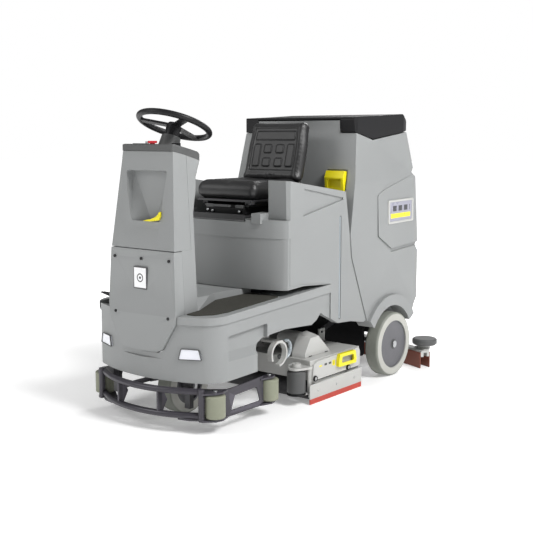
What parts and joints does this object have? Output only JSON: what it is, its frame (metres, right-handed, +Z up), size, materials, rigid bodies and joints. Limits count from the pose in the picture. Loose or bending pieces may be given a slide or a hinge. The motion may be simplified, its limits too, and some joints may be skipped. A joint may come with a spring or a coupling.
{
  "type": "ride-on floor scrubber",
  "caption": "Ride-on floor scrubber with steering column, seat, water tanks, cylindrical brush deck, debris drawer and curved rear squeegee.",
  "frame": {"origin": "centre of the machine's footprint on the floor", "axes": "+Z up, -Y is the direction of travel, +X is the driver's left"},
  "size_m": [0.994, 1.8699, 1.3724],
  "materials": {
    "frame": "satin black powder coat",
    "steel": "satin",
    "body_grey": "fine textured moulding",
    "dark_grey": "fine textured moulding",
    "mat": "fine ribbed",
    "lamp": "clear lens over white diffuser",
    "screen": "dark glass",
    "plate": "printed plate",
    "bumper": "satin powder coat",
    "roller": "matte",
    "clear_tube": "clear hose",
    "battery": "matte",
    "alloy": "as cast",
    "deck_grey": "satin",
    "tyre": "matte",
    "black_plastic": "fine textured",
    "vinyl": "smooth vinyl",
    "yellow": "satin",
    "red": "gloss",
    "bristle": "bristle",
    "squeegee_rubber": "matte",
    "side_panel": "satin"
  },
  "bodies": {
    "chassis": {"chassis_frame": "frame", "rear_axle": "steel", "platform_body": "body_grey", "foot_mats": "mat", "steering_column": "body_grey", "column_cover": "body_grey", "service_panel": "body_grey", "panel_screws": "black_plastic", "name_plates": "plate", "console": "dark_grey", "console_display": "screen", "headlights": "lamp", "bumper_frame": "bumper", "roller_bolts": "steel", "fresh_water_tank": "body_grey", "level_tube": "clear_tube", "battery_pack": "battery", "drive_controller": "alloy", "seat_mount": "black_plastic", "recovery_tank": "body_grey", "lift_actuator": "steel", "hose_guard": "deck_grey"},
    "drive_fork": {"drive_yoke": "steel"},
    "front_wheel": {"drive_wheel": "tyre"},
    "lower_shaft": {"steering_lower_shaft": "steel"},
    "steering": {"steering_upper_shaft": "steel", "steering_wheel": "black_plastic"},
    "left_wheel": {"rear_wheel_left": "tyre"},
    "right_wheel": {"rear_wheel_right": "tyre"},
    "bumper_roller_fl": {"front_roller_left": "roller"},
    "bumper_roller_fr": {"front_roller_right": "roller"},
    "bumper_roller_sl": {"side_roller_left": "roller"},
    "bumper_roller_sr": {"side_roller_right": "roller"},
    "lid": {"tank_lid": "black_plastic", "suction_turbine": "dark_grey"},
    "latch": {"tank_latch": "yellow"},
    "seat": {"seat_cushion": "vinyl", "seat_backrest": "vinyl", "seat_pan": "frame"},
    "accelerator": {"accelerator_pedal": "black_plastic"},
    "brake": {"brake_pedal": "black_plastic"},
    "key": {"key_switch": "steel"},
    "knob": {"program_knob": "black_plastic"},
    "stop_button": {"emergency_button": "red"},
    "deck": {"deck_housing": "deck_grey", "deck_motors": "deck_grey"},
    "lifting_arms": {"deck_arms": "frame"},
    "front_brush": {"brush_front": "bristle"},
    "back_brush": {"brush_rear": "bristle"},
    "guide_roller_left": {"deck_roller_left": "dark_grey"},
    "guide_roller_right": {"deck_roller_right": "dark_grey"},
    "drawer": {"debris_drawer": "side_panel", "drawer_handle": "yellow"},
    "left_side_squeegee": {"side_squeegee_left": "deck_grey"},
    "right_side_squeegee": {"side_squeegee_right": "deck_grey"},
    "squeegee_lift": {"squeegee_arm": "frame"},
    "squeegee": {"rear_squeegee": "deck_grey", "squeegee_blades": "squeegee_rubber"},
    "left_deflector": {"deflector_left": "dark_grey"},
    "right_deflector": {"deflector_right": "dark_grey"}
  },
  "joints": [
    {"name": "fork_steer", "type": "hinge", "parent": "chassis", "child": "drive_fork", "pos_m": [0, -0.626, 0.38], "axis": [0, 0, 1], "range_deg": [-85, 85]},
    {"name": "front_wheel_spin", "type": "hinge", "parent": "drive_fork", "child": "front_wheel", "pos_m": [0, -0.626, 0.13], "axis": [1, 0, 0], "continuous": true},
    {"name": "lower_shaft_turn", "type": "hinge", "parent": "chassis", "child": "lower_shaft", "pos_m": [0, -0.77, 0.4], "axis": [0, 0, 1], "range_deg": [-256, 256]},
    {"name": "steering_turn", "type": "hinge", "parent": "chassis", "child": "steering", "pos_m": [0, -0.668, 1.2905], "axis": [0, 0.3633, 0.9317], "range_deg": [-256, 256]},
    {"name": "left_wheel_spin", "type": "hinge", "parent": "chassis", "child": "left_wheel", "pos_m": [0, 0.552, 0.1686], "axis": [1, 0, 0], "continuous": true},
    {"name": "right_wheel_spin", "type": "hinge", "parent": "chassis", "child": "right_wheel", "pos_m": [0, 0.552, 0.1686], "axis": [1, 0, 0], "continuous": true},
    {"name": "front_roller_left_spin", "type": "hinge", "parent": "chassis", "child": "bumper_roller_fl", "pos_m": [0.342, -0.793, 0.12], "axis": [0, 0, 1], "continuous": true},
    {"name": "front_roller_right_spin", "type": "hinge", "parent": "chassis", "child": "bumper_roller_fr", "pos_m": [-0.342, -0.793, 0.12], "axis": [0, 0, 1], "continuous": true},
    {"name": "side_roller_left_spin", "type": "hinge", "parent": "chassis", "child": "bumper_roller_sl", "pos_m": [0.344, -0.43, 0.12], "axis": [0, 0, 1], "continuous": true},
    {"name": "side_roller_right_spin", "type": "hinge", "parent": "chassis", "child": "bumper_roller_sr", "pos_m": [-0.344, -0.43, 0.12], "axis": [0, 0, 1], "continuous": true},
    {"name": "lid_hinge", "type": "hinge", "parent": "chassis", "child": "lid", "pos_m": [0, 0.778, 1.296], "axis": [-1, 0, 0], "range_deg": [0, 78]},
    {"name": "latch_pivot", "type": "hinge", "parent": "chassis", "child": "latch", "pos_m": [0.262, 0.206, 0.983], "axis": [1, 0, 0], "range_deg": [0, 28]},
    {"name": "seat_slide", "type": "slide", "parent": "chassis", "child": "seat", "axis": [0, 1, 0], "range_m": [-0.06, 0.06]},
    {"name": "accelerator_press", "type": "hinge", "parent": "chassis", "child": "accelerator", "pos_m": [-0.305, -0.706, 0.494], "axis": [1, 0, 0], "range_deg": [0, 15], "stiffness_Nm_per_rad": 3, "springref_deg": -11.46},
    {"name": "brake_press", "type": "hinge", "parent": "chassis", "child": "brake", "pos_m": [-0.241, -0.706, 0.494], "axis": [1, 0, 0], "range_deg": [0, 15], "stiffness_Nm_per_rad": 3, "springref_deg": -11.46},
    {"name": "key_turn", "type": "hinge", "parent": "chassis", "child": "key", "pos_m": [-0.092, -0.74, 1.2], "axis": [0, 0, -1], "range_deg": [0, 90]},
    {"name": "knob_turn", "type": "hinge", "parent": "chassis", "child": "knob", "pos_m": [0.088, -0.745, 1.2], "axis": [0, 0, 1], "range_deg": [-135, 135]},
    {"name": "stop_push", "type": "slide", "parent": "chassis", "child": "stop_button", "axis": [0, 0, -1], "range_m": [0, 0.003], "stiffness_N_per_m": 600, "springref_m": -0.004},
    {"name": "deck_lift", "type": "slide", "parent": "chassis", "child": "deck", "axis": [0, 0, 1], "range_m": [0, 0.055]},
    {"name": "arm_swing", "type": "hinge", "parent": "chassis", "child": "lifting_arms", "pos_m": [0, 0.352, 0.292], "axis": [-1, 0, 0], "range_deg": [0, 24.51]},
    {"name": "front_brush_spin", "type": "hinge", "parent": "deck", "child": "front_brush", "pos_m": [0, -0.098, 0.052], "axis": [1, 0, 0], "continuous": true},
    {"name": "rear_brush_spin", "type": "hinge", "parent": "deck", "child": "back_brush", "pos_m": [0, 0.012, 0.052], "axis": [1, 0, 0], "continuous": true},
    {"name": "guide_left_spin", "type": "hinge", "parent": "deck", "child": "guide_roller_left", "pos_m": [0.345, -0.223, 0.11], "axis": [0, 0, 1], "continuous": true},
    {"name": "guide_right_spin", "type": "hinge", "parent": "deck", "child": "guide_roller_right", "pos_m": [-0.345, -0.223, 0.11], "axis": [0, 0, 1], "continuous": true},
    {"name": "drawer_slide", "type": "slide", "parent": "deck", "child": "drawer", "axis": [1, 0, 0], "range_m": [0, 0.38]},
    {"name": "left_squeegee_float", "type": "slide", "parent": "deck", "child": "left_side_squeegee", "axis": [0, 0, 1], "range_m": [0, 0.006]},
    {"name": "right_squeegee_float", "type": "slide", "parent": "deck", "child": "right_side_squeegee", "axis": [0, 0, 1], "range_m": [0, 0.006]},
    {"name": "squeegee_raise", "type": "hinge", "parent": "chassis", "child": "squeegee_lift", "pos_m": [0, 0.7, 0.222], "axis": [1, 0, 0], "range_deg": [0, 12]},
    {"name": "squeegee_swing", "type": "hinge", "parent": "squeegee_lift", "child": "squeegee", "pos_m": [0, 0.842, 0.15], "axis": [0, 0, 1], "range_deg": [-6, 6]},
    {"name": "left_deflector_spin", "type": "hinge", "parent": "squeegee", "child": "left_deflector", "pos_m": [0.43, 0.846, 0.13], "axis": [0, 0, 1], "continuous": true},
    {"name": "right_deflector_spin", "type": "hinge", "parent": "squeegee", "child": "right_deflector", "pos_m": [-0.43, 0.846, 0.13], "axis": [0, 0, 1], "continuous": true}
  ],
  "couplings": [
    {"joint": "lower_shaft_turn", "follows": "fork_steer", "ratio": -3},
    {"joint": "steering_turn", "follows": "fork_steer", "ratio": -3},
    {"joint": "arm_swing", "follows": "deck_lift", "rad_per_m": 7.7747},
    {"joint": "rear_brush_spin", "follows": "front_brush_spin", "ratio": -1}
  ]
}
